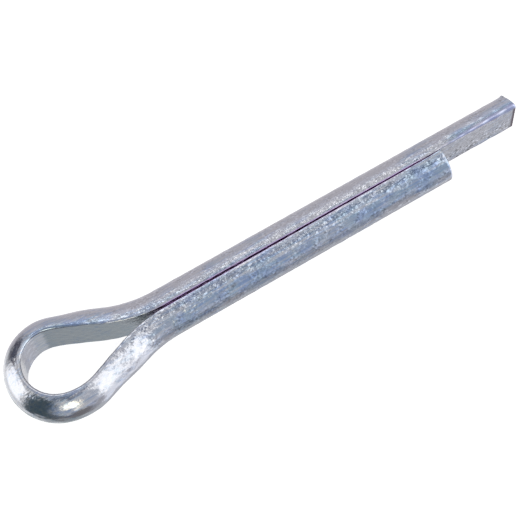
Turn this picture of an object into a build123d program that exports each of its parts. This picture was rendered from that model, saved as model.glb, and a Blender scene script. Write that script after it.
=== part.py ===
from build123d import *
import os
from math import cos, radians, sin, sqrt

# Cotter pin: one length of half-round wire, folded into a teardrop eye with two parallel legs.
# X runs along the shank to the leg tips, Z is square to the flat of the eye, and the flats of the
# two legs face each other across the plane Y = 0. The origin is on the shank's axis, at the place
# where the long leg leaves its neck bend. The pin lies as it rests, flat on its side.

# Shank: the two legs together fill one round hole.
shank_diameter = 3.7
leg_gap = 0.12
short_leg_length = 24.45
long_leg_extra = 6.65

# Wire: the half-round section's eased corners, its broken ends, and how much thinner the eye's tight
# bend has drawn it.
corner_radius = 0.18
end_break = 0.12
eye_thinning = 0.23

# Bends: radii are taken at the wire's flat, angles are in degrees.
neck_radius = 9.5
far_arm_angle = 24.4
far_arm_length = 4.05
eye_radius = 2.5
eye_turn = 170.0
eye_near_radius = 3.45
near_arm_angle = 20.6

# Worked out from the sizes above.
shank_radius = shank_diameter / 2
leg_thickness = shank_radius - leg_gap / 2
eye_thickness = leg_thickness - eye_thinning
flat_half_width = sqrt(shank_radius**2 - (leg_gap / 2) ** 2)
long_leg_length = short_leg_length + long_leg_extra
near_turn = 180.0 + far_arm_angle + near_arm_angle - eye_turn
neck_rise = neck_radius * (1 - cos(radians(near_arm_angle)))


def half_round(thickness):
    """The wire's section: its flat on the sketch's Y axis, its round side towards +X, corners eased."""
    round_radius = (flat_half_width**2 + thickness**2) / (2 * thickness)
    stock = Pos(thickness - round_radius, 0) * Circle(round_radius)
    outer_side = Rectangle(shank_diameter, 2 * shank_diameter, align=(Align.MIN, Align.CENTER))
    wire = stock & outer_side
    return fillet(wire.vertices(), corner_radius)


class WireFormer:
    """Lays the wire run by run along its flat: straight runs, tapered runs and bends.

    The wire heads along `heading`, in degrees from +X, and its round side is on the right.
    """

    def __init__(self, start, heading):
        self.point = Vector(start)
        self.heading = heading
        self.runs = []

    def forward(self):
        """The direction in which the wire is heading."""
        return Vector(cos(radians(self.heading)), sin(radians(self.heading)), 0)

    def section(self, thickness):
        """The half-round section across the wire, here and now."""
        right = self.forward().cross(Vector(0, 0, 1))
        return Plane(self.point, x_dir=right, z_dir=self.forward()) * half_round(thickness)

    def straight(self, length, thickness):
        """A straight run of even thickness."""
        self.runs.append(extrude(self.section(thickness), length, self.forward()))
        self.point += self.forward() * length

    def taper(self, length, thickness, end_thickness):
        """A straight run that goes from one thickness to another."""
        first = self.section(thickness)
        self.point += self.forward() * length
        self.runs.append(loft([first, self.section(end_thickness)]))

    def bend(self, turn, radius, thickness):
        """A bend by `turn` degrees, to the left where positive, about an axis along Z."""
        side = 1 if turn > 0 else -1
        left = Vector(0, 0, 1).cross(self.forward())
        axis = Axis(self.point + left * (side * radius), (0, 0, side))
        self.runs.append(revolve(self.section(thickness), axis, abs(turn)))
        self.point = Vertex(self.point).rotate(axis, abs(turn)).center()
        self.heading += turn


def cotter_pin():
    """The whole pin, formed from the long leg's tip round the eye to the short leg's tip."""
    wire = WireFormer((long_leg_length, leg_gap / 2, 0), 180.0)
    wire.straight(long_leg_length, leg_thickness)
    wire.bend(-far_arm_angle, neck_radius, leg_thickness)
    wire.taper(far_arm_length, leg_thickness, eye_thickness)
    wire.bend(eye_turn, eye_radius, eye_thickness)
    wire.bend(near_turn, eye_near_radius, eye_thickness)
    near_arm_length = (-leg_gap / 2 - neck_rise - wire.point.Y) / sin(radians(near_arm_angle))
    wire.taper(near_arm_length, eye_thickness, leg_thickness)
    wire.bend(-near_arm_angle, neck_radius, leg_thickness)
    wire.straight(short_leg_length - wire.point.X, leg_thickness)
    pin = Part() + wire.runs
    cut_ends = pin.faces().filter_by(Axis.X)
    return fillet(cut_ends.edges(), end_break)


os.makedirs("parts", exist_ok=True)
export_step(cotter_pin(), "parts/cotter_pin.step")
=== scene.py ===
import logging
from dataclasses import dataclass, field
from enum import Enum
from typing import Any

import bpy
import numpy as np
from mathutils import Matrix, Vector


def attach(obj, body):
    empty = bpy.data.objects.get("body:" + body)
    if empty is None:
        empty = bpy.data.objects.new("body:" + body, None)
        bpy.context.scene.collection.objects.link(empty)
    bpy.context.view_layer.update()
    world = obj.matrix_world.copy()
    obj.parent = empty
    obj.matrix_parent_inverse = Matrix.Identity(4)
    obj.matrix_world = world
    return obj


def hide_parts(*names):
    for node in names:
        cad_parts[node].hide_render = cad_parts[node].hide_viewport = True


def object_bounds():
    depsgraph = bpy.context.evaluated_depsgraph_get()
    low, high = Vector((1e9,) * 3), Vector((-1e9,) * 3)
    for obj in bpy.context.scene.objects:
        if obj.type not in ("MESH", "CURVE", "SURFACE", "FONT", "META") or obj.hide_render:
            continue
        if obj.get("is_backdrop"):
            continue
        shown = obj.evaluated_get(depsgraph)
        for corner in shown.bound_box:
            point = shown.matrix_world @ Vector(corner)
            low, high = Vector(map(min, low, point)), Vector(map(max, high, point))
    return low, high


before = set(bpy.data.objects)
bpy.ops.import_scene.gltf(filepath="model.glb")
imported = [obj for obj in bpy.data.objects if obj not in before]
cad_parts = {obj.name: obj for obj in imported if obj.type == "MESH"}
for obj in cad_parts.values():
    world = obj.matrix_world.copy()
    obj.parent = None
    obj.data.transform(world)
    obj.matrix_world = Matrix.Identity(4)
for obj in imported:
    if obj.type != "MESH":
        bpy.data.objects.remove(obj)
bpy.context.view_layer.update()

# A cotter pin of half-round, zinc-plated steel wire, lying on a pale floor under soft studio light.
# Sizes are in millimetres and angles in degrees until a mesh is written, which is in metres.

LOG = logging.getLogger("cotter_pin")
MM = 0.001
NODE = "cotter_pin"
BODY = "root"
SLOT = "zinc_plated_steel"

# What the pin's mesh tells its material, point by point: how dimpled the plate is, how much painted
# blue reflection lies on what faces up and towards -Y, where specks paint glints and pit shade, how
# bare of zinc the cut faces are, with painted shade on the flat along the long cut, and where violet
# is painted into the shade inside the split.
GRAIN = "grain"
FILM_AND_PAINTED_REFLECTION = "film_and_painted_reflection"
GLINT_SPECK = "glint_speck"
BARE_AND_EDGE_SHADE = "bare"
SPLIT_SHADE_AND_CORNER_VIOLET = "violet"

# How much of a studio card is there, point by point.
COVER = "cover"

# A mix node keeps the sockets for colours and for numbers at places of their own.
MIX_FROM_COLOUR, MIX_TO_COLOUR, MIXED_COLOUR = 6, 7, 2
MIX_FROM_NUMBER, MIX_TO_NUMBER, MIXED_NUMBER = 2, 3, 0

Arrays = dict[str, np.ndarray]
Sockets = dict[str, bpy.types.NodeSocket]


def linear_rgba(hex_colour: str) -> tuple[float, float, float, float]:
    """Turn an sRGB hex colour into the linear colour that Blender's sockets take.

    Args:
        hex_colour: Six hex digits after a hash sign.

    Returns:
        Linear red, green and blue, with an alpha of 1.
    """
    srgb = np.array([int(hex_colour[k : k + 2], 16) for k in (1, 3, 5)]) / 255.0
    linear = np.where(srgb <= 0.04045, srgb / 12.92, ((srgb + 0.055) / 1.055) ** 2.4)
    return (*(float(c) for c in linear), 1.0)


def add_node(
    tree: bpy.types.NodeTree,
    kind: str,
    settings: dict[str, Any] | None = None,
    inputs: dict[str | int, Any] | None = None,
) -> bpy.types.Node:
    """Add one node with its settings, and set or link its inputs.

    Args:
        tree: The node tree that takes the node.
        kind: Blender's name for the kind of node.
        settings: Property names and values.
        inputs: Socket names or numbers, each with a value or with the output that feeds it.

    Returns:
        The new node.
    """
    node = tree.nodes.new(kind)
    for name, value in (settings or {}).items():
        setattr(node, name, value)
    for name, value in (inputs or {}).items():
        if isinstance(value, bpy.types.NodeSocket):
            tree.links.new(value, node.inputs[name])
        else:
            node.inputs[name].default_value = value
    return node


def smooth_step(value: np.ndarray, start: float, end: float) -> np.ndarray:
    """Rise from 0 at start to 1 at end along the cubic 3t^2 - 2t^3, and stay level outside."""
    share = np.clip((value - start) / (end - start), 0.0, 1.0)
    return share * share * (3.0 - 2.0 * share)


def grid_quads(rows: int, columns: int, wrapped: bool) -> np.ndarray:
    """Number the corners of a grid's quads, so that row direction x column direction is outwards.

    Args:
        rows: Points along the path.
        columns: Points across it.
        wrapped: Whether the last column joins the first.

    Returns:
        An array of four vertex numbers for each quad.
    """
    row = np.arange(rows - 1)[:, None]
    column = np.arange(columns if wrapped else columns - 1)[None, :]
    beside = (column + 1) % columns
    corners = (
        row * columns + column,
        (row + 1) * columns + column,
        (row + 1) * columns + beside,
        row * columns + beside,
    )
    return np.stack(corners, axis=-1).reshape(-1, 4)


def mesh_object(
    name: str,
    points: np.ndarray,
    quads: np.ndarray,
    triangles: np.ndarray | None = None,
    attributes: Arrays | None = None,
) -> bpy.types.Object:
    """Put arrays of points and faces into a smooth mesh object at the origin.

    Args:
        name: The object's name.
        points: One point a row, in metres.
        quads: Four vertex numbers a row.
        triangles: Three vertex numbers a row, where there are any.
        attributes: Float values by attribute name, one for each point.

    Returns:
        The object, linked to the scene.
    """
    three = np.zeros((0, 3), int) if triangles is None else triangles
    corners = np.concatenate([quads.ravel(), three.ravel()]).astype(np.int32)
    starts = np.concatenate(
        [np.arange(len(quads)) * 4, quads.size + np.arange(len(three)) * 3]
    ).astype(np.int32)
    mesh = bpy.data.meshes.new(name)
    mesh.vertices.add(len(points))
    mesh.vertices.foreach_set("co", points.astype(np.float32).ravel())
    mesh.loops.add(len(corners))
    mesh.loops.foreach_set("vertex_index", corners)
    mesh.polygons.add(len(starts))
    mesh.polygons.foreach_set("loop_start", starts)
    mesh.update(calc_edges=True)
    mesh.validate()
    mesh.shade_smooth()
    for key, values in (attributes or {}).items():
        layer = mesh.attributes.new(key, "FLOAT", "POINT")
        layer.data.foreach_set("value", values.astype(np.float32).ravel())
    made = bpy.data.objects.new(name, mesh)
    bpy.context.scene.collection.objects.link(made)
    return made


@dataclass(frozen=True)
class ZincPlate:
    """Bright zinc electroplate with a blue passivate, over drawn and tumbled steel wire.

    To the eye it is a pale blue-grey metal that mirrors its surroundings softly. Tumbling has left it
    finely dimpled, so it glitters wherever something bright stands beside something dark, and looks
    smooth where its surroundings are even. The passivate tints it blue and lilac in loose patches.
    Its colour also holds painted light: a painted blue reflection on what faces up and towards -Y,
    specks that paint glints and shade in pits, violet painted into the shade inside the split, and
    painted shade on the flat along the long cut.
    The real dimples and facets are finer than a pixel, so they are drawn coarser, to show at all.
    """

    lilac: str = "#AFB0B5"
    blue: str = "#8999B4"
    teal: str = "#93A3B2"
    # Painted shade: this violet is painted on the shaded flats inside the split, and faintly on the long
    # tip's corners.
    violet: str = "#C4ABD0"
    # Bare steel on the cut faces, whose colour also paints shade on the flat along the long cut.
    bare_steel_and_edge_shade: str = "#5A4E55"
    bare_roughness: float = 0.45
    roughness: float = 0.17
    roughness_spread: float = 0.08

    # Each pattern's marks in millimetres, and how many finer octaves it has.
    patch_size: float = 2.6
    patch_octaves: float = 3.0
    hue_size: float = 0.8
    hue_octaves: float = 1.0
    mottle_size: float = 0.6
    mottle_octaves: float = 2.0
    speck_size: float = 0.2
    speck_octaves: float = 1.0
    streak_size: float = 0.16
    streak_octaves: float = 1.0
    streak_stretch: float = 16.0
    dimple_size: float = 0.13
    dimple_octaves: float = 1.5
    facet_size: float = 0.14

    # How far the patterns change the tint and the brightness, how deep they are, and how far a facet
    # tilts the normal.
    patch_swing: float = 0.35
    streak_swing: float = 0.45
    # The specks' swing paints glints and shade in pits into the colour.
    glint_speck_swing: float = 1.2
    mottle_depth: float = 0.026
    streak_depth: float = 0.03
    dimple_depth: float = 0.012
    facet_tilt: float = 0.2

    # The stretch of a pattern's values that counts. Noise is seldom outside the first of these.
    noise_span: tuple[float, float] = (0.3, 0.7)
    teal_span: tuple[float, float] = (0.35, 0.62)
    cluster_span: tuple[float, float] = (0.4, 0.65)
    facet_middle: tuple[float, float, float] = (0.5, 0.5, 0.5)

    def patterns(self, tree: bpy.types.NodeTree) -> Sockets:
        """Lay the plate's patterns over the pin, in millimetres. The streaks run along the legs.

        Args:
            tree: The node tree.

        Returns:
            Each pattern's output by its name.
        """
        place = add_node(tree, "ShaderNodeTexCoord")
        in_mm = add_node(
            tree,
            "ShaderNodeVectorMath",
            {"operation": "SCALE"},
            {0: place.outputs["Object"], "Scale": 1.0 / MM},
        ).outputs[0]
        drawn = add_node(
            tree,
            "ShaderNodeVectorMath",
            {"operation": "MULTIPLY"},
            {0: in_mm, 1: (1.0 / self.streak_stretch, 1.0, 1.0)},
        ).outputs[0]
        facets = add_node(
            tree, "ShaderNodeTexVoronoi", {}, {"Vector": in_mm, "Scale": 1.0 / self.facet_size}
        )
        patterns = {"facets": facets.outputs["Color"]}
        noises = (
            ("patches", in_mm, self.patch_size, self.patch_octaves),
            ("hues", in_mm, self.hue_size, self.hue_octaves),
            ("mottle", in_mm, self.mottle_size, self.mottle_octaves),
            ("specks", in_mm, self.speck_size, self.speck_octaves),
            ("streaks", drawn, self.streak_size, self.streak_octaves),
            ("dimples", in_mm, self.dimple_size, self.dimple_octaves),
        )
        for name, space, size, octaves in noises:
            noise = add_node(
                tree, "ShaderNodeTexNoise", {}, {"Vector": space, "Scale": 1.0 / size, "Detail": octaves}
            )
            patterns[name] = noise.outputs["Fac"]
        return patterns

    def levels(self, tree: bpy.types.NodeTree, patterns: Sockets) -> Sockets:
        """Turn patterns into amounts: each span of values becomes another, evenly and no further.

        Args:
            tree: The node tree.
            patterns: What patterns gives.

        Returns:
            How far the patches, the streaks and the specks that paint glints and pit shade swing, how
            teal the passivate is, where specks gather, and how rough the plate is.
        """
        spread = self.roughness_spread / 2
        rough = (self.roughness - spread, self.roughness + spread)
        spans = (
            ("patches", "patches", self.noise_span, (-self.patch_swing, self.patch_swing)),
            ("streaks", "streaks", self.noise_span, (-self.streak_swing, self.streak_swing)),
            ("specks", "specks", self.noise_span, (-self.glint_speck_swing, self.glint_speck_swing)),
            ("teal", "hues", self.teal_span, (0.0, 1.0)),
            ("clusters", "mottle", self.cluster_span, (0.0, 1.0)),
            ("roughness", "mottle", self.noise_span, rough),
        )
        levels = {}
        for name, pattern, given, wanted in spans:
            level = add_node(
                tree,
                "ShaderNodeMapRange",
                {},
                {
                    "Value": patterns[pattern],
                    "From Min": given[0],
                    "From Max": given[1],
                    "To Min": wanted[0],
                    "To Max": wanted[1],
                },
            )
            levels[name] = level.outputs["Result"]
        return levels

    def tint(self, tree: bpy.types.NodeTree, levels: Sockets, painted: Sockets) -> bpy.types.NodeSocket:
        """Tint the metal: lilac, then blue to teal where the passivate's patches and the painted blue
        reflection are, then violet painted into the shade inside the split.

        Args:
            tree: The node tree.
            levels: What levels gives.
            painted: The mesh's attributes.

        Returns:
            The tint.
        """
        uneven = add_node(
            tree, "ShaderNodeMath", {"operation": "ADD"}, {0: levels["streaks"], 1: levels["patches"]}
        )
        # Blue where the passivate's patches and streaks are, and where the mesh carries the painted blue
        # reflection.
        blueness = add_node(
            tree,
            "ShaderNodeMath",
            {"operation": "ADD", "use_clamp": True},
            {0: painted[FILM_AND_PAINTED_REFLECTION], 1: uneven.outputs[0]},
        )
        film_and_painted_reflection = add_node(
            tree,
            "ShaderNodeMix",
            {"data_type": "RGBA"},
            {
                0: levels["teal"],
                MIX_FROM_COLOUR: linear_rgba(self.blue),
                MIX_TO_COLOUR: linear_rgba(self.teal),
            },
        )
        # The second layer is violet painted into the shade inside the split.
        layers = (
            (blueness.outputs[0], film_and_painted_reflection.outputs[MIXED_COLOUR]),
            (painted[SPLIT_SHADE_AND_CORNER_VIOLET], linear_rgba(self.violet)),
        )
        tint = linear_rgba(self.lilac)
        for share, laid in layers:
            tint = add_node(
                tree,
                "ShaderNodeMix",
                {"data_type": "RGBA"},
                {0: share, MIX_FROM_COLOUR: tint, MIX_TO_COLOUR: laid},
            ).outputs[MIXED_COLOUR]
        return tint

    def colour(
        self, tree: bpy.types.NodeTree, levels: Sockets, painted: Sockets
    ) -> bpy.types.NodeSocket:
        """Strew the tint with specks in clusters, lighter ones as painted glints and darker ones as
        painted shade in pits, and lay the bare steel open, whose colour also paints shade along the long
        cut.

        Args:
            tree: The node tree.
            levels: What levels gives.
            painted: The mesh's attributes.

        Returns:
            The metal's colour.
        """
        # Painted glints and pit shade: specks that make the colour lighter and darker.
        strewn = add_node(
            tree, "ShaderNodeMath", {"operation": "MULTIPLY"}, {0: levels["clusters"], 1: painted[GLINT_SPECK]}
        )
        glint_speck = add_node(
            tree,
            "ShaderNodeMath",
            {"operation": "MULTIPLY_ADD"},
            {0: levels["specks"], 1: strewn.outputs[0], 2: 1.0},
        )
        flecked = add_node(
            tree,
            "ShaderNodeVectorMath",
            {"operation": "SCALE"},
            {0: self.tint(tree, levels, painted), "Scale": glint_speck.outputs[0]},
        )
        # Bare steel on the cut faces, and painted shade on the flat along the long cut.
        return add_node(
            tree,
            "ShaderNodeMix",
            {"data_type": "RGBA"},
            {
                0: painted[BARE_AND_EDGE_SHADE],
                MIX_FROM_COLOUR: flecked.outputs[0],
                MIX_TO_COLOUR: linear_rgba(self.bare_steel_and_edge_shade),
            },
        ).outputs[MIXED_COLOUR]

    def normal(
        self, tree: bpy.types.NodeTree, patterns: Sockets, painted: Sockets
    ) -> bpy.types.NodeSocket:
        """Bend the normal: mottle, streaks and dimples as bumps, then each facet by its own tilt.

        Args:
            tree: The node tree.
            patterns: What patterns gives.
            painted: The mesh's attributes.

        Returns:
            The normal.
        """
        depths = {
            "mottle": self.mottle_depth,
            "streaks": self.streak_depth,
            "dimples": self.dimple_depth,
        }
        bump: dict[str, Any] = {"Strength": 1.0}
        for name, depth in depths.items():
            height = add_node(
                tree, "ShaderNodeMath", {"operation": "MULTIPLY"}, {0: patterns[name], 1: painted[GRAIN]}
            )
            bump["Distance"] = depth * MM
            bump["Height"] = height.outputs[0]
            bump["Normal"] = add_node(tree, "ShaderNodeBump", {}, bump).outputs["Normal"]
        centred = add_node(
            tree,
            "ShaderNodeVectorMath",
            {"operation": "SUBTRACT"},
            {0: patterns["facets"], 1: self.facet_middle},
        )
        tilt = add_node(
            tree, "ShaderNodeMath", {"operation": "MULTIPLY"}, {0: painted[GRAIN], 1: self.facet_tilt}
        )
        tilted = add_node(
            tree,
            "ShaderNodeVectorMath",
            {"operation": "SCALE"},
            {0: centred.outputs[0], "Scale": tilt.outputs[0]},
        )
        summed = add_node(
            tree, "ShaderNodeVectorMath", {"operation": "ADD"}, {0: bump["Normal"], 1: tilted.outputs[0]}
        )
        return add_node(
            tree, "ShaderNodeVectorMath", {"operation": "NORMALIZE"}, {0: summed.outputs[0]}
        ).outputs[0]

    def material(self) -> bpy.types.Material:
        """Build the finish: metal, with its tint and specks, its dullness and its dimples.

        Returns:
            The material, named for what it is.
        """
        material = bpy.data.materials.new(SLOT)
        material.use_nodes = True
        tree = material.node_tree
        patterns = self.patterns(tree)
        levels = self.levels(tree, patterns)
        painted = {}
        for name in (GRAIN, FILM_AND_PAINTED_REFLECTION, GLINT_SPECK, BARE_AND_EDGE_SHADE, SPLIT_SHADE_AND_CORNER_VIOLET):
            attribute = add_node(tree, "ShaderNodeAttribute", {"attribute_name": name})
            painted[name] = attribute.outputs["Fac"]
        dullness = add_node(
            tree,
            "ShaderNodeMix",
            {"data_type": "FLOAT"},
            {
                0: painted[BARE_AND_EDGE_SHADE],
                MIX_FROM_NUMBER: levels["roughness"],
                MIX_TO_NUMBER: self.bare_roughness,
            },
        ).outputs[MIXED_NUMBER]
        shader = tree.nodes["Principled BSDF"]
        shader.inputs["Metallic"].default_value = 1.0
        tree.links.new(self.colour(tree, levels, painted), shader.inputs["Base Color"])
        tree.links.new(dullness, shader.inputs["Roughness"])
        tree.links.new(self.normal(tree, patterns, painted), shader.inputs["Normal"])
        return material


class Stretch(Enum):
    """The runs of the wire, in order from the long tip to the short one."""

    LONG_LEG = 0
    FAR_NECK = 1
    FAR_ARM = 2
    EYE_FAR = 3
    EYE_CROWN = 4
    EYE_NEAR = 5
    NEAR_ARM = 6
    NEAR_NECK = 7
    SHORT_LEG = 8


@dataclass
class CotterPin:
    """One length of half-round wire, folded at its middle into an eye with two legs side by side.

    The flat of the wire follows a line in the plane of the eye, and the round side is on its right.
    The line's arrays have one value a row. Those of the mesh have its rows down and the points of the
    section across, or one column where a row has one value.
    """

    # The wire's section, with its corners on the legs and on the eye.
    wire_radius: float = 1.85
    flat_setback: float = 0.012
    eye_thinning: float = 0.266
    leg_corner: float = 0.09
    eye_corner: float = 0.2

    # The line that the flat follows: the split, the legs, the necks, the arms and the eye.
    gap_at_neck: float = 0.14
    gap_at_tip: float = 0.025
    short_reach: float = 24.41
    long_reach: float = 31.12
    far_neck_radius: float = 10.88
    near_neck_radius: float = 10.58
    far_arm_angle: float = 27.47
    near_arm_angle: float = 20.50
    far_arm_length: float = 3.284
    far_arm_bow: float = 4.86
    near_arm_bow: float = -2.62
    eye_far_radius: float = 2.412
    eye_far_turn: float = 85.11
    eye_crown_radius: float = 2.691
    eye_crown_turn: float = 102.87
    eye_near_radius: float = 3.875
    bend_ease: float = 0.7
    line_step: float = 0.02

    # The twist of the legs about the shank's axis, between two places on X, and how much of it each
    # millimetre of leg takes back.
    neck_twist: float = 6.6
    twist_range: tuple[float, float] = (-9.06, 0.80)
    leg_untwist: float = 0.09

    # The long tip: a rolled upper corner between two places on X, a broken edge, a leaning cut and a
    # low burr at one slope of the round side.
    tip_corner: float = 0.3
    tip_corner_range: tuple[float, float] = (23.5, 30.5)
    long_break: float = 0.11
    long_cut_lean: float = 8.0
    long_cut_reach: float = 1.6
    burr_height: float = 0.13
    burr_length: float = 0.35
    burr_angle: float = 34.0
    burr_spread: float = 9.0

    # The short tip: a sharp upper corner and a flat that flares until it closes the split. What looks
    # this squarely out of the flat flares.
    short_corner: float = 0.03
    short_corner_length: float = 1.3
    short_flare: float = 0.02
    flare_facing: float = 0.99
    short_break: float = 0.14

    # The mesh: the distance between rows, the rings of the edges and the cut faces, the share of the
    # thickness that the faces' rings draw in to, and the points of the section.
    station_step: float = 0.1
    break_rings: int = 6
    face_rings: int = 8
    face_middle_share: float = 0.42
    flat_points: int = 26
    corner_points: int = 9
    round_points: int = 56

    # The painted blue reflection, laid on what looks up and forwards, towards -Y: how much more it
    # keeps to what looks up than to what looks forwards, how far that is, its share where each stretch
    # starts and at the end, its fading beside the split between two slopes, and the long tip's own
    # painted blue, whose stretch of X also bounds the tip's polish.
    reflection_up: float = 2.0
    reflection_range: tuple[float, float] = (0.45, 0.93)
    reflection_shares: tuple[float, ...] = (0.0, 0.3, 1.0, 0.9, 0.1, 0.4, 0.15, 0.1, 0.55, 0.85)
    reflection_fade: float = 0.35
    reflection_fade_range: tuple[float, float] = (72.0, 88.0)
    tip_reflection_and_polish_range: tuple[float, float] = (23.5, 26.0)
    tip_reflection_up: tuple[float, float] = (0.61, 0.8)

    # The dimples: what is left of them on the eye, the corners, the hidden flats and the crown of the
    # round side, and how far the long tip and the short leg are polished. The eye's rubbing sets in
    # between two shares of the far neck, and the crown ends between two slopes.
    eye_grain: float = 0.5
    rub_shares: tuple[float, float] = (0.2, 0.8)
    corner_grain: float = 0.35
    hidden_flat_grain: float = 0.3
    flat_wear_range: tuple[float, float] = (21.5, 23.5)
    crown_grain: float = 0.5
    crown_range: tuple[float, float] = (46.0, 73.0)
    tip_polish: float = 0.75
    short_polish: float = 0.4
    short_polish_range: tuple[float, float] = (13.0, 22.0)

    # The specks, which paint glints and shade in pits; the reach from the long cut of the bare steel's
    # colour that paints shade on the flat; and the violet painted into the shade inside the split: where
    # on X it sets in, how squarely it looks out of the flat, and how much of it the short tip loses.
    round_speck: float = 0.12
    crown_speck: float = 0.24
    reflection_speck: float = 0.3
    flat_speck_range: tuple[float, float] = (-1.0, 1.0)
    edge_shade_reach: tuple[float, float] = (0.22, 0.36)
    split_shade_range: tuple[float, float] = (-1.5, 1.0)
    split_shade_facing: tuple[float, float] = (0.0, 0.7)
    split_shade_loss: float = 0.7
    tip_corner_violet: float = 0.2

    # The shallow swells that drawing and tumbling leave.
    relief_depth: float = 0.004
    relief_length: tuple[float, float] = (0.7, 2.2)
    relief_width: tuple[float, float] = (0.45, 1.2)
    relief_waves: int = 120
    relief_seed: int = 7
    finish: ZincPlate = field(default_factory=ZincPlate)

    @property
    def lean(self) -> float:
        """Give the angle, in radians, by which each leg leans towards the other."""
        return (self.gap_at_neck - self.gap_at_tip) / 2 / self.short_reach

    @property
    def tip_y(self) -> float:
        """Give the place of the long tip's flat across the split."""
        return self.gap_at_neck / 2 - self.lean * self.long_reach

    def runs(self) -> tuple[np.ndarray, np.ndarray]:
        """Work out the length and the turn of each run, from the long tip round to the short one.

        A run of length L that turns by a has the chord L sin(a/2)/(a/2), at half of its turn. The
        near arm is as long as it takes for the chords to come back across the split, and the short
        leg as long as it takes for them to reach its tip.

        Returns:
            Lengths in millimetres and turns in radians, in the order of Stretch.
        """
        lean = self.lean
        far, near = np.radians(self.far_arm_angle), np.radians(self.near_arm_angle)
        eye_far, crown = np.radians(self.eye_far_turn), np.radians(self.eye_crown_turn)
        far_bow, near_bow = np.radians(self.far_arm_bow), np.radians(self.near_arm_bow)
        eye_near = np.pi + far + near - eye_far - crown - far_bow - near_bow
        turns = np.array(
            [0.0, lean - far, far_bow, eye_far, crown, eye_near, near_bow, lean - near, 0.0]
        )
        lengths = np.array(
            [
                self.long_reach,
                self.far_neck_radius * (far - lean),
                self.far_arm_length,
                self.eye_far_radius * eye_far,
                self.eye_crown_radius * crown,
                self.eye_near_radius * eye_near,
                0.0,
                self.near_neck_radius * (near - lean),
                0.0,
            ]
        )
        middle = np.pi - lean + np.cumsum(turns) - turns / 2
        chord = np.sinc(turns / 2 / np.pi)
        rise = -self.gap_at_neck / 2 - self.tip_y - (lengths * chord * np.sin(middle)).sum()
        arm = Stretch.NEAR_ARM.value
        lengths[arm] = rise / (chord[arm] * np.sin(middle[arm]))
        reach = self.short_reach - self.long_reach - (lengths * chord * np.cos(middle)).sum()
        lengths[Stretch.SHORT_LEG.value] = reach / np.cos(lean)
        return lengths, turns

    def line(self) -> Arrays:
        """Draw the line that the flat follows.

        Its heading grows evenly along each run, is eased over a short length where runs meet, and
        is summed up along the wire to give the points.

        Returns:
            The distance along the wire, x, y and heading of each point, and the distances at which
            the runs start and the last one ends.
        """
        lengths, turns = self.runs()
        knots = np.concatenate([[0.0], np.cumsum(lengths)])
        headings = np.pi - self.lean + np.concatenate([[0.0], np.cumsum(turns)])
        along = np.linspace(0.0, knots[-1], int(knots[-1] / self.line_step) + 1)
        heading = np.interp(along, knots, headings)
        half = int(self.bend_ease / self.line_step)
        ease = np.hanning(2 * half + 1)
        heading = np.convolve(np.pad(heading, half, mode="edge"), ease / ease.sum(), mode="valid")
        step = along[1] - along[0]
        middle = (heading[1:] + heading[:-1]) / 2
        x = self.long_reach + np.concatenate([[0.0], np.cumsum(np.cos(middle))]) * step
        y = self.tip_y + np.concatenate([[0.0], np.cumsum(np.sin(middle))]) * step
        return {"along": along, "x": x, "y": y, "heading": heading, "knots": knots}

    def stations(self, total: float) -> Arrays:
        """List the rows of the mesh: the cut face, the broken edge, the wire, and the same at its end.

        Args:
            total: The wire's length.

        Returns:
            For each row its distance along the wire, how far its outline is drawn in, its share of
            the full outline on the cut faces, and how bare of zinc it is, which on the long end's flat is
            painted shade as well.
        """
        quarter = np.linspace(0.0, np.pi / 2, self.break_rings + 1)
        rise, draw = 1 - np.cos(quarter), 1 - np.sin(quarter)
        count = int(total / self.station_step)
        body = np.linspace(self.long_break, total - self.short_break, count)[1:-1]
        face = np.linspace(0.0, 1.0, self.face_rings + 1)[1:-1]
        flat, full = np.zeros_like(face), np.ones_like(quarter)
        first, last = self.long_break, self.short_break
        along = np.concatenate(
            [flat, first * rise, body, total - last * rise[::-1], total - flat]
        )
        inset = np.concatenate(
            [flat + first, first * draw, 0 * body, last * draw[::-1], flat + last]
        )
        share = np.concatenate([face, full, np.ones_like(body), full, face[::-1]])
        bare = np.concatenate([flat + 1, full, 0 * body, 0 * full, flat + 1])
        return {"along": along, "inset": inset, "share": share, "bare": bare}

    def rows(self) -> Arrays:
        """Put the mesh's rows on the line, and say what the wire is like at each.

        The wire is drawn thin along the far arm and thick again along the near one, and is rubbed
        smooth from the far neck round to the near one.

        Returns:
            What stations gives, with each row's place, heading, thickness and plain corner, and how
            far it is on the legs, past the eye, at the short end, thin and rubbed, and how much painted
            blue reflection its stretch takes.
        """
        line = self.line()
        knots = line["knots"]
        start = {stretch: knots[stretch.value] for stretch in Stretch}
        total = knots[-1]
        rows = {key: value[:, None] for key, value in self.stations(total).items()}
        along = rows["along"]
        for key in ("x", "y", "heading"):
            rows[key] = np.interp(along, line["along"], line[key])
        rows["on_long_leg"] = along < start[Stretch.FAR_NECK]
        rows["on_short_leg"] = along > start[Stretch.SHORT_LEG]
        rows["past_eye"] = along > start[Stretch.NEAR_NECK]
        rows["at_short_end"] = smooth_step(along, total - self.short_corner_length, total)
        thinner = smooth_step(along, start[Stretch.FAR_ARM], start[Stretch.EYE_FAR])
        thicker = smooth_step(along, start[Stretch.NEAR_ARM], start[Stretch.NEAR_NECK])
        rows["thin"] = thinner * (1.0 - thicker)
        rows["thickness"] = self.wire_radius - self.flat_setback - self.eye_thinning * rows["thin"]
        rows["corner"] = self.leg_corner + (self.eye_corner - self.leg_corner) * rows["thin"]
        far_neck = (start[Stretch.FAR_NECK], start[Stretch.FAR_ARM])
        smoother = smooth_step(along, *np.interp(self.rub_shares, (0.0, 1.0), far_neck))
        rougher = smooth_step(along, start[Stretch.NEAR_NECK], start[Stretch.SHORT_LEG])
        rows["rubbed"] = smoother * (1.0 - rougher)
        rows["film_and_painted_reflection"] = np.interp(along, knots, self.reflection_shares)
        return rows

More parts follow.
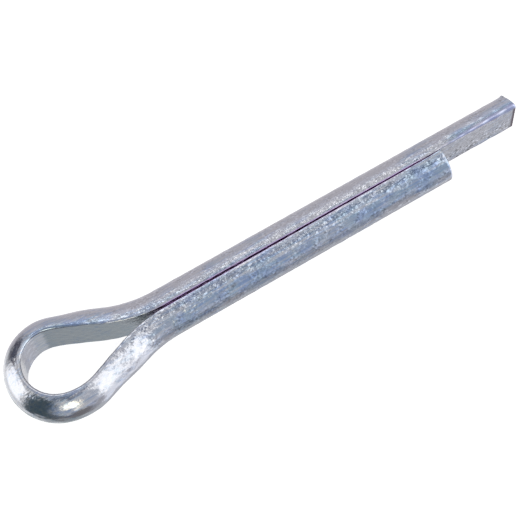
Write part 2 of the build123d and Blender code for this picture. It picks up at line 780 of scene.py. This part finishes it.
    def section(self, thickness: np.ndarray, upper: np.ndarray, lower: np.ndarray) -> Arrays:
        """Lay out the half-round section for each thickness and pair of corner radii.

        The round side is the arc through the flat's two edges and the thickest point: its radius is
        (w^2 + t^2) / 2t for a half width w and a thickness t. The corners are arcs that touch the
        flat and the round side. The outline goes down the flat and back up the round side. The slope
        is the angle of the normal from straight out of the round side.

        Args:
            thickness: One thickness for each row.
            upper: The upper corner's radius at each row.
            lower: The lower corner's radius at each row.

        Returns:
            For each row and point: out from the flat, up, the outward normal's parts, 1 on the flat
            or on the round side, and the slope in degrees.
        """
        width = np.sqrt(self.wire_radius**2 - self.flat_setback**2)
        radius = (width**2 + thickness**2) / (2 * thickness)
        centre = thickness - radius
        top_up = np.sqrt((radius - upper) ** 2 - (upper - centre) ** 2)
        low_up = np.sqrt((radius - lower) ** 2 - (lower - centre) ** 2)
        top_meet = np.arctan2(top_up, upper - centre)
        low_meet = np.arctan2(low_up, lower - centre)
        down = np.linspace(0.0, 1.0, self.flat_points, endpoint=False)[None, :]
        turn = np.linspace(0.0, 1.0, self.corner_points, endpoint=False)[None, :]
        sweep = np.linspace(0.0, 1.0, self.round_points, endpoint=False)[None, :]
        below = np.pi + (np.pi - low_meet) * turn
        side = (low_meet + top_meet) * sweep - low_meet
        above = top_meet + (np.pi - top_meet) * turn
        flat = 0 * thickness * down
        parts = {
            "out": (
                flat,
                lower + lower * np.cos(below),
                centre + radius * np.cos(side),
                upper + upper * np.cos(above),
            ),
            "up": (
                top_up - (top_up + low_up) * down,
                lower * np.sin(below) - low_up,
                radius * np.sin(side),
                upper * np.sin(above) + top_up,
            ),
            "normal_out": (flat - 1.0, np.cos(below), np.cos(side), np.cos(above)),
            "normal_up": (flat, np.sin(below), np.sin(side), np.sin(above)),
            "on_flat": (flat + 1.0, 0 * below, 0 * side, 0 * above),
            "on_round": (flat, 0 * below, 0 * side + 1.0, 0 * above),
        }
        section = {key: np.concatenate(part, axis=1) for key, part in parts.items()}
        section["slope"] = np.degrees(np.arctan2(section["normal_up"], section["normal_out"]))
        return section

    def towards_tip(self, skin: Arrays, start: float, end: float) -> np.ndarray:
        """Rise from 0 to 1 between two places on the long leg, and stay 0 off it."""
        return skin["on_long_leg"] * smooth_step(skin["x"], start, end)

    def beside_flat(self, skin: Arrays) -> np.ndarray:
        """Rise from 0 on the crown of the round side to 1 beside the flat."""
        return smooth_step(np.abs(skin["slope"]), *self.crown_range)

    def relief(self, along: np.ndarray, around: np.ndarray) -> np.ndarray:
        """Roughen the wire as drawing and tumbling do, in shallow swells longer than they are wide.

        The height is a sum of cosine waves with random lengths, directions and phases. Each wave is
        split by cos(a + b) = cos a cos b - sin a sin b, so that the sum is two matrix products.

        Args:
            along: Each row's distance along the wire, as a column.
            around: Each point's distance round the section, whose last joins the first.

        Returns:
            One height for each row and point.
        """
        draw = np.random.default_rng(self.relief_seed)
        girth = around[-1] + around[1]
        lengths = draw.uniform(*self.relief_length, self.relief_waves)
        widths = draw.uniform(*self.relief_width, self.relief_waves)
        turns_round = np.round(girth / widths) * draw.choice([-1.0, 1.0], self.relief_waves)
        phase = draw.uniform(0.0, 2 * np.pi, self.relief_waves)
        a = 2 * np.pi * along / lengths + phase
        b = 2 * np.pi * around[:, None] / girth * turns_round
        waves = np.cos(a) @ np.cos(b).T - np.sin(a) @ np.sin(b).T
        return self.relief_depth * waves * np.sqrt(2.0 / self.relief_waves)

    def swell(self, skin: Arrays) -> np.ndarray:
        """Add up what stands proud of the plain section: the relief, the burr and the flare.

        The burr rises towards the long cut. Round the section it is the bell exp(-((a - b) / s)^2)
        of the slope a. The flare lifts the flat towards the short cut.

        Args:
            skin: What rows and section give.

        Returns:
            One height for each row and point.
        """
        leg = self.section(skin["thickness"][:1], skin["corner"][:1], skin["corner"][:1])
        steps = np.hypot(np.diff(leg["out"][0]), np.diff(leg["up"][0]))
        around = np.concatenate([[0.0], np.cumsum(steps)])
        burr = self.towards_tip(skin, self.long_reach - self.burr_length, self.long_reach)
        bell = np.exp(-(((skin["slope"] - self.burr_angle) / self.burr_spread) ** 2))
        flare = skin["at_short_end"] * (skin["normal_out"] < -self.flare_facing)
        proud = self.burr_height * burr * bell + self.short_flare * flare
        return self.relief(skin["along"], around) + proud

    def place(self, skin: Arrays) -> np.ndarray:
        """Carry the section along the line, and turn the legs.

        A point of the section that is q out from the flat and z up lies at the line's point plus q
        times the normal on the line's right, at height z. Near the long cut it is also moved along X
        in proportion to q, so that the cut leans. The legs are then turned about the shank's axis by
        a twist that rises smoothly along the neck.

        Args:
            skin: What rows and section give.

        Returns:
            One point for each row and point of the section, in millimetres.
        """
        share, thickness, heading = skin["share"], skin["thickness"], skin["heading"]
        middle = thickness * self.face_middle_share
        inset = skin["inset"] - self.swell(skin)
        out = middle + share * (skin["out"] - inset * skin["normal_out"] - middle)
        up = share * (skin["up"] - inset * skin["normal_up"])
        cut = smooth_step(skin["x"], self.long_reach - self.long_cut_reach, self.long_reach)
        lean = np.tan(np.radians(self.long_cut_lean)) * (thickness / 2 - out) * cut
        x = skin["x"] + out * np.sin(heading) + lean
        y = skin["y"] - out * np.cos(heading)
        twist = self.neck_twist * smooth_step(skin["x"], *self.twist_range)
        twist = np.radians(twist - self.leg_untwist * np.maximum(skin["x"], 0.0))
        turned_y = y * np.cos(twist) - up * np.sin(twist)
        turned_z = y * np.sin(twist) + up * np.cos(twist)
        return np.stack([x, turned_y, turned_z], axis=-1)

    def film_and_painted_reflection(self, skin: Arrays) -> np.ndarray:
        """Say how much painted blue reflection there is: it lies on what looks up and a little
        forwards, towards -Y.

        Args:
            skin: What rows and section give.

        Returns:
            A share for each row and point.
        """
        # Painted reflection: what faces up and towards -Y is tinted blue, as its surroundings would tint
        # it.
        forwards = skin["normal_out"] * np.cos(skin["heading"])
        looks_up = (self.reflection_up * skin["normal_up"] + forwards) / np.hypot(1.0, self.reflection_up)
        film_and_painted_reflection = smooth_step(looks_up, *self.reflection_range) * skin["film_and_painted_reflection"]
        fade = skin["past_eye"] * smooth_step(skin["slope"], *self.reflection_fade_range)
        at_tip = self.towards_tip(skin, *self.tip_reflection_and_polish_range)
        tip_reflection = smooth_step(looks_up, *self.tip_reflection_up) * at_tip
        return np.maximum(film_and_painted_reflection * (1.0 - self.reflection_fade * fade), tip_reflection)

    def polished(self, skin: Arrays) -> np.ndarray:
        """Say where the long tip is polished: on its corners, and on the round side beside them."""
        at_tip = self.towards_tip(skin, *self.tip_reflection_and_polish_range)
        return at_tip * (1.0 - skin["on_flat"]) * self.beside_flat(skin)

    def grain(self, skin: Arrays) -> np.ndarray:
        """Say how dimpled the plate is: fully on the legs' round sides, and less where it is rubbed.

        Args:
            skin: What rows and section give.

        Returns:
            A share for each row and point.
        """
        on_flat, on_round = skin["on_flat"], skin["on_round"]
        worn = self.towards_tip(skin, *self.flat_wear_range)
        flat_grain = self.hidden_flat_grain + (1.0 - self.hidden_flat_grain) * worn
        round_grain = self.crown_grain + (1.0 - self.crown_grain) * self.beside_flat(skin)
        grain = on_flat * flat_grain + on_round * round_grain
        grain = grain + (1.0 - on_flat - on_round) * self.corner_grain
        short = skin["on_short_leg"] * smooth_step(skin["x"], *self.short_polish_range)
        grain = grain * (1.0 - (1.0 - self.eye_grain) * np.sqrt(skin["rubbed"]))
        grain = grain * (1.0 - self.tip_polish * self.polished(skin))
        return grain * (1.0 - self.short_polish * short)

    def glint_speck(self, skin: Arrays) -> np.ndarray:
        """Say how strewn with specks, which paint glints and shade in pits, the plate is: on the long
        tip's flat, and on the legs' round sides.

        Args:
            skin: What rows and section give.

        Returns:
            A share for each row and point.
        """
        worn = self.towards_tip(skin, *self.flat_wear_range)
        on_tip_flat = worn * smooth_step(-skin["up"], *self.flat_speck_range)
        beside = self.beside_flat(skin)
        strewn = self.crown_speck + (self.round_speck - self.crown_speck) * beside
        strewn = strewn + self.reflection_speck * self.film_and_painted_reflection(skin) * (1.0 - beside)
        on_legs = (1.0 - skin["thin"]) * strewn
        return on_tip_flat * skin["on_flat"] + on_legs * skin["on_round"]

    def bare(self, skin: Arrays) -> np.ndarray:
        """Say how bare of zinc the wire is on both cut faces, and where its colour paints shade on the
        flat along the long cut.

        Args:
            skin: What rows and section give.

        Returns:
            A share for each row and point.
        """
        on_flat = skin["on_flat"]
        cut = skin["bare"] * np.where(skin["share"] < 1.0, 1.0, on_flat)
        # A strip of painted shade on the flat along the long cut's edge.
        worn = 1.0 - smooth_step(skin["along"], *self.edge_shade_reach)
        return np.maximum(cut, worn * on_flat)

    def violet(self, skin: Arrays) -> np.ndarray:
        """Say where violet is painted: into the shade on the flats inside the split, and faintly on the
        long tip's corners.

        Args:
            skin: What rows and section give.

        Returns:
            A share for each row and point.
        """
        hidden = 1.0 - self.towards_tip(skin, *self.flat_wear_range)
        hidden = hidden * (1.0 - self.split_shade_loss * skin["at_short_end"])
        inside = smooth_step(-skin["normal_out"], *self.split_shade_facing)
        # Painted shade: the shaded flats inside the split are tinted violet.
        split = smooth_step(skin["x"], *self.split_shade_range) * hidden * inside
        corners = self.polished(skin) * (1.0 - skin["on_round"])
        return np.maximum(split, self.tip_corner_violet * corners)

    def build(self) -> bpy.types.Object:
        """Join the placed sections to one skin, and close both ends with fans round their middles.

        Returns:
            The pin as one closed mesh, which carries what its finish needs to know.
        """
        rows = self.rows()
        rolled = self.towards_tip(rows, *self.tip_corner_range)
        upper = rows["corner"] + (self.tip_corner - self.leg_corner) * rolled
        upper = upper + (self.short_corner - self.leg_corner) * rows["at_short_end"]
        skin = rows | self.section(rows["thickness"], upper, rows["corner"])
        points = self.place(skin)
        count, columns = points.shape[:2]
        poles = np.stack([points[0].mean(axis=0), points[-1].mean(axis=0)])
        column = np.arange(columns)
        beside = (column + 1) % columns
        last = (count - 1) * columns
        pole = np.full(columns, count * columns)
        fans = (
            np.stack([pole, column, beside], axis=-1),
            np.stack([pole + 1, last + beside, last + column], axis=-1),
        )
        painted = {
            GRAIN: self.grain(skin),
            FILM_AND_PAINTED_REFLECTION: self.film_and_painted_reflection(skin),
            GLINT_SPECK: self.glint_speck(skin),
            BARE_AND_EDGE_SHADE: self.bare(skin),
            SPLIT_SHADE_AND_CORNER_VIOLET: self.violet(skin),
        }
        return mesh_object(
            NODE + "_wire",
            np.concatenate([points.reshape(-1, 3), poles]) * MM,
            grid_quads(count, columns, wrapped=True),
            np.concatenate(fans),
            {key: np.append(value.ravel(), value[[0, -1], 0]) for key, value in painted.items()},
        )

    def dress(self, pin: bpy.types.Object) -> None:
        """Give the pin its zinc plate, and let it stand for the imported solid.

        Args:
            pin: The mesh that build gives.
        """
        pin.data.materials.append(self.finish.material())
        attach(pin, BODY)
        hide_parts(NODE)
        LOG.info("%s: %d faces", pin.name, len(pin.data.polygons))


@dataclass(frozen=True)
class StudioCard:
    """A lit panel or a flag that stands round the pin, out of the camera's sight.

    Azimuth is from the -Y side towards +X, and elevation from the floor. A card fades out over its
    feather, in degrees of azimuth and of elevation, and hides the cards that are further off.
    """

    name: str
    azimuth: tuple[float, float]
    elevation: tuple[float, float]
    colour: str
    radiance: float
    feather: tuple[float, float]
    distance: float
    points: int = 49

    # A card without a feather fades over this instead, so that nothing is divided by 0.
    hard_edge: float = 1e-6

    def build(self, centre: np.ndarray) -> bpy.types.Object:
        """Bend the card round the pin: a patch of a sphere between two azimuths and two elevations.

        Args:
            centre: The point that the card is bent round, in millimetres.

        Returns:
            The card, which only reflections see.
        """
        share = np.linspace(0.0, 1.0, self.points)
        azimuth = np.radians(np.interp(share, [0, 1], self.azimuth))[:, None]
        elevation = np.radians(np.interp(share, [0, 1], self.elevation))[None, :]
        direction = np.stack(
            [
                np.sin(azimuth) * np.cos(elevation),
                -np.cos(azimuth) * np.cos(elevation),
                0 * azimuth + np.sin(elevation),
            ],
            axis=-1,
        )
        points = (centre + self.distance * direction).reshape(-1, 3) * MM
        edge = np.minimum(share, 1 - share)
        widths = (np.ptp(self.azimuth), np.ptp(self.elevation))
        fades = [
            smooth_step(edge * width, -self.hard_edge, feather)
            for width, feather in zip(widths, self.feather)
        ]
        cover = fades[0][:, None] * fades[1][None, :]
        quads = grid_quads(self.points, self.points, wrapped=False)
        card = mesh_object(self.name, points, quads, None, {COVER: cover})
        card.data.materials.append(self.material())
        card.visible_camera = False
        card.visible_diffuse = False
        card.visible_shadow = False
        card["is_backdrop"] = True
        LOG.info("card %s", card.name)
        return card

    def material(self) -> bpy.types.Material:
        """Let the card glow evenly in its own colour, and be clear where its cover fades.

        Returns:
            The card's material.
        """
        material = bpy.data.materials.new(self.name)
        material.use_nodes = True
        tree = material.node_tree
        tree.nodes.clear()
        cover = add_node(tree, "ShaderNodeAttribute", {"attribute_name": COVER})
        clear = add_node(tree, "ShaderNodeBsdfTransparent")
        glow = add_node(
            tree, "ShaderNodeEmission", {}, {"Color": linear_rgba(self.colour), "Strength": self.radiance}
        )
        mixed = add_node(
            tree,
            "ShaderNodeMixShader",
            {},
            {0: cover.outputs["Fac"], 1: clear.outputs[0], 2: glow.outputs[0]},
        )
        add_node(tree, "ShaderNodeOutputMaterial", {}, {"Surface": mixed.outputs[0]})
        return material


@dataclass(frozen=True)
class PhotoCamera:
    """The camera at the photograph's viewing angle, for a square picture."""

    azimuth: float = -22.077
    elevation: float = 65.164
    roll: float = -9.233
    distance: float = 150.944
    target: tuple[float, float, float] = (8.350, -0.021, 0.0)
    focal_pixels: float = 2000.0
    picture_pixels: float = 520.0
    sensor: float = 36.0
    nearest: float = 5.0
    furthest: float = 20000.0

    def build(self) -> bpy.types.Object:
        """Place the camera on its line of sight, turn it by its roll, and make it the scene's own.

        Returns:
            The camera.
        """
        a, e, r = np.radians([self.azimuth, self.elevation, self.roll])
        back = Vector((np.sin(a) * np.cos(e), -np.cos(a) * np.cos(e), np.sin(e)))
        level = back.cross(Vector((0, 0, -1))).normalized()
        upright = back.cross(level)
        right = np.cos(r) * level + np.sin(r) * upright
        up = np.cos(r) * upright - np.sin(r) * level
        data = bpy.data.cameras.new("photo_camera")
        data.sensor_width = self.sensor
        data.lens = self.focal_pixels / self.picture_pixels * self.sensor
        data.clip_start = self.nearest * MM
        data.clip_end = self.furthest * MM
        camera = bpy.data.objects.new("photo_camera", data)
        place = (Vector(self.target) + back * self.distance) * MM
        columns = Matrix((right, up, back)).transposed().to_4x4()
        camera.matrix_world = Matrix.Translation(place) @ columns
        bpy.context.scene.collection.objects.link(camera)
        bpy.context.scene.camera = camera
        LOG.info("camera %s", camera.name)
        return camera


@dataclass(frozen=True)
class Studio:
    """A pale floor, an even white room, and the cards that the metal mirrors.

    The metal doesn't see the floor, so the cards go on below it as the ground that the metal mirrors.
    One flag stands close by, so that it darkens the near leg's end and not the eye. The shade on the
    ground is what the two arms mirror by way of each other, where they meet.
    """

    floor_colour: str = "#F2F2F2"
    floor_glow: float = 0.8
    floor_half: float = 3000.0
    room_colour: str = "#FFFFFF"
    room_light: float = 0.42
    centre: tuple[float, float, float] = (6.0, 0.0, 0.0)
    cards: tuple[StudioCard, ...] = (
        StudioCard("softbox_left", (-144, -86), (-36, 52), "#FFFFFF", 2.3, (16, 20), 4000.0),
        StudioCard("softbox_right", (21, 86), (-20, 48), "#FFFFFF", 2.4, (8, 16), 4000.0),
        StudioCard("softbox_top", (25, 86), (30, 74), "#FFFFFF", 2.3, (7, 12), 4010.0),
        StudioCard("softbox_skirt", (22, 86), (-72, 2), "#F6F8FF", 1.7, (9, 26), 4050.0),
        StudioCard("lamp_front", (-34, -2), (4, 40), "#FFF3D8", 4.2, (9, 11), 4000.0),
        StudioCard("lamp_tail", (-17, -4), (-9, 17), "#FFF4EA", 1.8, (4, 6), 4050.0),
        StudioCard("strip_back", (151, 176), (55, 70), "#FFFFFF", 3.0, (4, 2), 4000.0),
        StudioCard("strip_low", (157, 174), (38, 46), "#FFFFFF", 2.6, (4, 2), 4000.0),
        StudioCard("flag_high", (8, 45), (61, 76), "#D4E2FF", 0.4, (4, 4), 3950.0),
        StudioCard("flag_near", (42, 66), (50, 68), "#D4E2FF", 0.4, (6, 5), 95.0),
        StudioCard("flag_left", (-106, -30), (-50, 62), "#CCE6F0", 0.2, (26, 16), 4300.0),
        StudioCard("flag_cap", (-66, 4), (48, 76), "#DDE6FA", 0.42, (10, 10), 4250.0),
        StudioCard("flag_low", (-56, 10), (-56, -12), "#F2EEF2", 0.36, (8, 12), 4300.0),
        StudioCard("flag_back", (-175, -133), (-26, 50), "#E4E4FF", 0.19, (14, 26), 4300.0),
        StudioCard("wall_front", (-48, 2), (-16, 44), "#F4F4F6", 0.85, (10, 12), 4400.0),
        StudioCard("front_high", (-2, 40), (34, 66), "#F6F8FF", 1.02, (4, 8), 4420.0),
        StudioCard("front_middle", (-2, 36), (0, 42), "#E8F0FF", 0.86, (4, 8), 4450.0),
        StudioCard("front_lip", (-2, 36), (-18, 3), "#EEF2FF", 1.02, (4, 6), 4440.0),
        StudioCard("front_low", (0, 36), (-60, -10), "#F2F2FA", 0.72, (4, 8), 4470.0),
        StudioCard("sky_back", (126, 206), (38, 72), "#F2F2F8", 0.86, (4, 8), 4500.0),
        StudioCard("sky_low", (126, 206), (16, 46), "#F4F4FF", 1.05, (4, 8), 4510.0),
        StudioCard("wall_back", (128, 206), (-70, 34), "#FAF6FC", 0.88, (8, 8), 4550.0),
        StudioCard("ground_shade", (-185, -105), (-90, -58), "#E4F6F2", 0.5, (20, 8), 4540.0),
        StudioCard("ground_mid", (-16, 36), (-80, -50), "#F2F6FA", 0.9, (14, 8), 4600.0),
        StudioCard("ground_front", (-102, 60), (-90, -42), "#EEF8FC", 0.6, (40, 12), 4700.0),
        StudioCard("ground_left", (-192, -84), (-90, -22), "#FFFFFF", 1.4, (36, 20), 4800.0),
        StudioCard("ground_right", (20, 130), (-90, -42), "#F2F2FA", 0.74, (28, 12), 4650.0),
        StudioCard("ceiling_right", (30, 168), (62, 90), "#FAFAFF", 1.05, (12, 6), 4850.0),
        StudioCard("ceiling", (-180, 180), (60, 90), "#E2EAFF", 0.75, (0, 8), 4900.0),
    )

    def seen(self, tree: bpy.types.NodeTree) -> bpy.types.NodeSocket:
        """Give 1 for rays from the camera, from metal and through glass, and 0 for the rest.

        Args:
            tree: The node tree that asks.

        Returns:
            The 1 or 0.
        """
        path = add_node(tree, "ShaderNodeLightPath")
        either = add_node(
            tree,
            "ShaderNodeMath",
            {"operation": "MAXIMUM"},
            {0: path.outputs["Is Camera Ray"], 1: path.outputs["Is Glossy Ray"]},
        )
        return add_node(
            tree,
            "ShaderNodeMath",
            {"operation": "MAXIMUM"},
            {0: either.outputs[0], 1: path.outputs["Is Transmission Ray"]},
        ).outputs[0]

    def room(self) -> None:
        """Make the world white where it is seen, and an even soft light on the floor."""
        world = bpy.data.worlds.new("white_room")
        bpy.context.scene.world = world
        world.use_nodes = True
        tree = world.node_tree
        tree.nodes.clear()
        white = linear_rgba(self.room_colour)
        unseen, seen = (
            add_node(tree, "ShaderNodeBackground", {}, {"Color": white, "Strength": strength})
            for strength in (self.room_light, 1.0)
        )
        mixed = add_node(
            tree, "ShaderNodeMixShader", {}, {0: self.seen(tree), 1: unseen.outputs[0], 2: seen.outputs[0]}
        )
        add_node(tree, "ShaderNodeOutputWorld", {}, {"Surface": mixed.outputs[0]})

    def floor(self, height: float) -> bpy.types.Object:
        """Lay the pale floor, white where it is seen and open to the pin's own soft shadow.

        Args:
            height: The floor's height, in metres.

        Returns:
            The floor, which is stage.
        """
        edges = np.array([-1.0, 1.0]) * self.floor_half * MM
        across, along = np.meshgrid(edges, edges, indexing="ij")
        points = np.stack([across, along, 0 * along + height], axis=-1).reshape(-1, 3)
        floor = mesh_object("floor", points, grid_quads(2, 2, wrapped=False))
        material = bpy.data.materials.new("floor_paper")
        material.use_nodes = True
        tree = material.node_tree
        tree.nodes.clear()
        paper = add_node(
            tree, "ShaderNodeBsdfDiffuse", {}, {"Color": linear_rgba(self.floor_colour)}
        )
        strength = add_node(
            tree, "ShaderNodeMath", {"operation": "MULTIPLY"}, {0: self.seen(tree), 1: self.floor_glow}
        )
        glow = add_node(tree, "ShaderNodeEmission", {}, {"Strength": strength.outputs[0]})
        both = add_node(tree, "ShaderNodeAddShader", {}, {0: paper.outputs[0], 1: glow.outputs[0]})
        add_node(tree, "ShaderNodeOutputMaterial", {}, {"Surface": both.outputs[0]})
        floor.data.materials.append(material)
        floor.visible_glossy = False
        floor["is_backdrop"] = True
        LOG.info("floor %s", floor.name)
        return floor

    def build(self, floor_height: float) -> None:
        """Set up the room, the floor and the cards.

        Args:
            floor_height: The height that the pin rests at, in metres.
        """
        self.room()
        self.floor(floor_height)
        for card in self.cards:
            card.build(np.array(self.centre))


def main() -> None:
    """Build the pin, the studio at the pin's lowest point, and the camera."""
    logging.basicConfig(level=logging.INFO)
    bpy.context.scene.view_settings.view_transform = "Standard"
    pin = CotterPin()
    wire = pin.build()
    pin.dress(wire)
    low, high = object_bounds()
    Studio().build(low.z)
    PhotoCamera().build()


if __name__ == "__main__":
    main()
